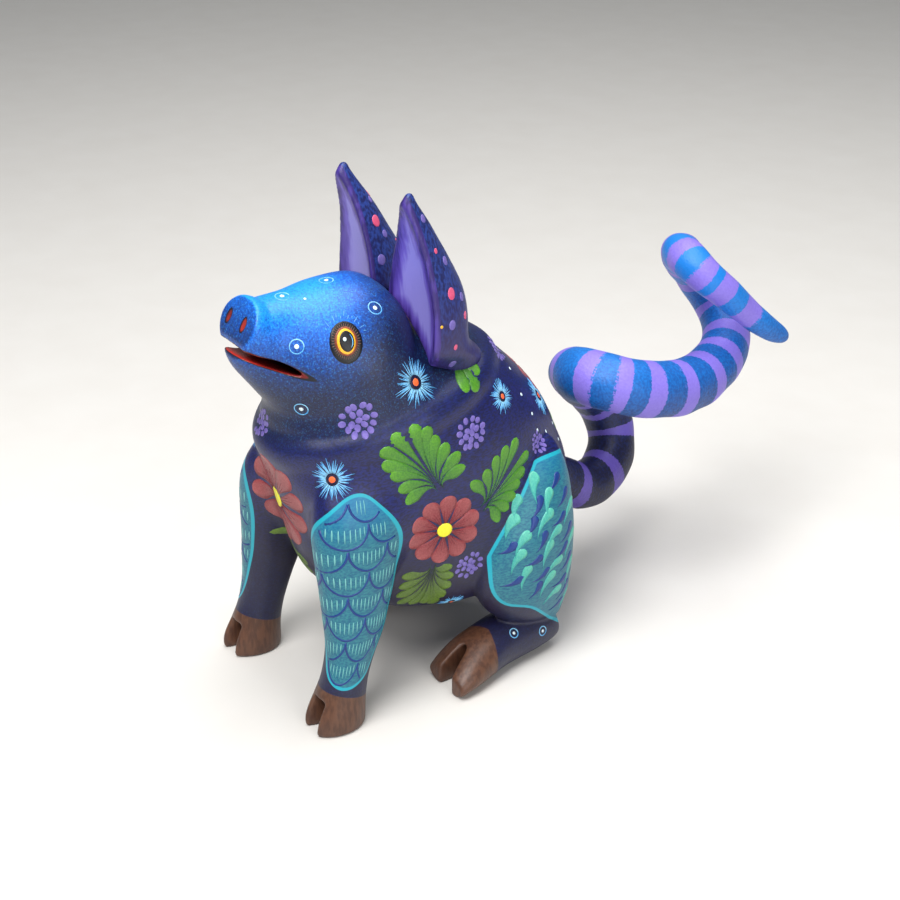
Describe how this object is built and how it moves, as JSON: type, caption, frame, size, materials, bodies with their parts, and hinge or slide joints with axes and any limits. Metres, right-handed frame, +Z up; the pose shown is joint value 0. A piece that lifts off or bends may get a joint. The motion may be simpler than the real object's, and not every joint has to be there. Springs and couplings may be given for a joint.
{
  "type": "carved animal figurine",
  "caption": "Hand-carved, painted wooden animal figure sitting on its haunches, with push-in ears and a corkscrew tail.",
  "frame": {"origin": "centre of the figure's bounding box, on the ground plane", "axes": "+Z up, the animal looks along -Y, its left side is +X"},
  "size_m": [0.0688, 0.1748, 0.137],
  "materials": {
    "body_paint": "brushed acrylic paint over sanded wood, satin, navy to purple-brown",
    "head_paint": "speckled acrylic paint over sanded wood, satin, bright blue fading to navy",
    "leg_paint": "acrylic paint over sanded wood, satin, turquoise panels on navy",
    "ear_paint": "acrylic paint over sanded wood, satin, lilac inside, navy outside",
    "tail_paint": "acrylic paint over sanded wood, satin, blue and lilac rings",
    "bare_wood": "raw pale softwood, unpainted"
  },
  "bodies": {
    "figure": {"torso": "body_paint", "head": "head_paint", "neck_dowel": "bare_wood", "front_leg_left": "leg_paint", "front_leg_right": "leg_paint", "front_leg_dowel_left": "bare_wood", "front_leg_dowel_right": "bare_wood", "hind_leg_left": "leg_paint", "hind_leg_right": "leg_paint", "hind_leg_dowel_left": "bare_wood", "hind_leg_dowel_right": "bare_wood"},
    "left_ear": {"ear_left": "ear_paint", "ear_peg_left": "bare_wood"},
    "right_ear": {"ear_right": "ear_paint", "ear_peg_right": "bare_wood"},
    "tail_peg": {"tail_peg": "bare_wood"},
    "tail": {"tail": "tail_paint"}
  },
  "joints": [
    {"name": "ear_left_pull", "type": "slide", "parent": "figure", "child": "left_ear", "axis": [0.6202, 0.3616, 0.6961], "range_m": [0, 0.0085]},
    {"name": "ear_right_pull", "type": "slide", "parent": "figure", "child": "right_ear", "axis": [-0.6202, 0.3616, 0.6961], "range_m": [0, 0.0085]},
    {"name": "tail_twist", "type": "hinge", "parent": "figure", "child": "tail_peg", "pos_m": [0, 0.0099, 0.039], "axis": [0, 0.8339, -0.5519], "range_deg": [-60, 60]},
    {"name": "tail_pull", "type": "slide", "parent": "tail_peg", "child": "tail", "axis": [0, 0.8339, -0.5519], "range_m": [0, 0.011]}
  ]
}
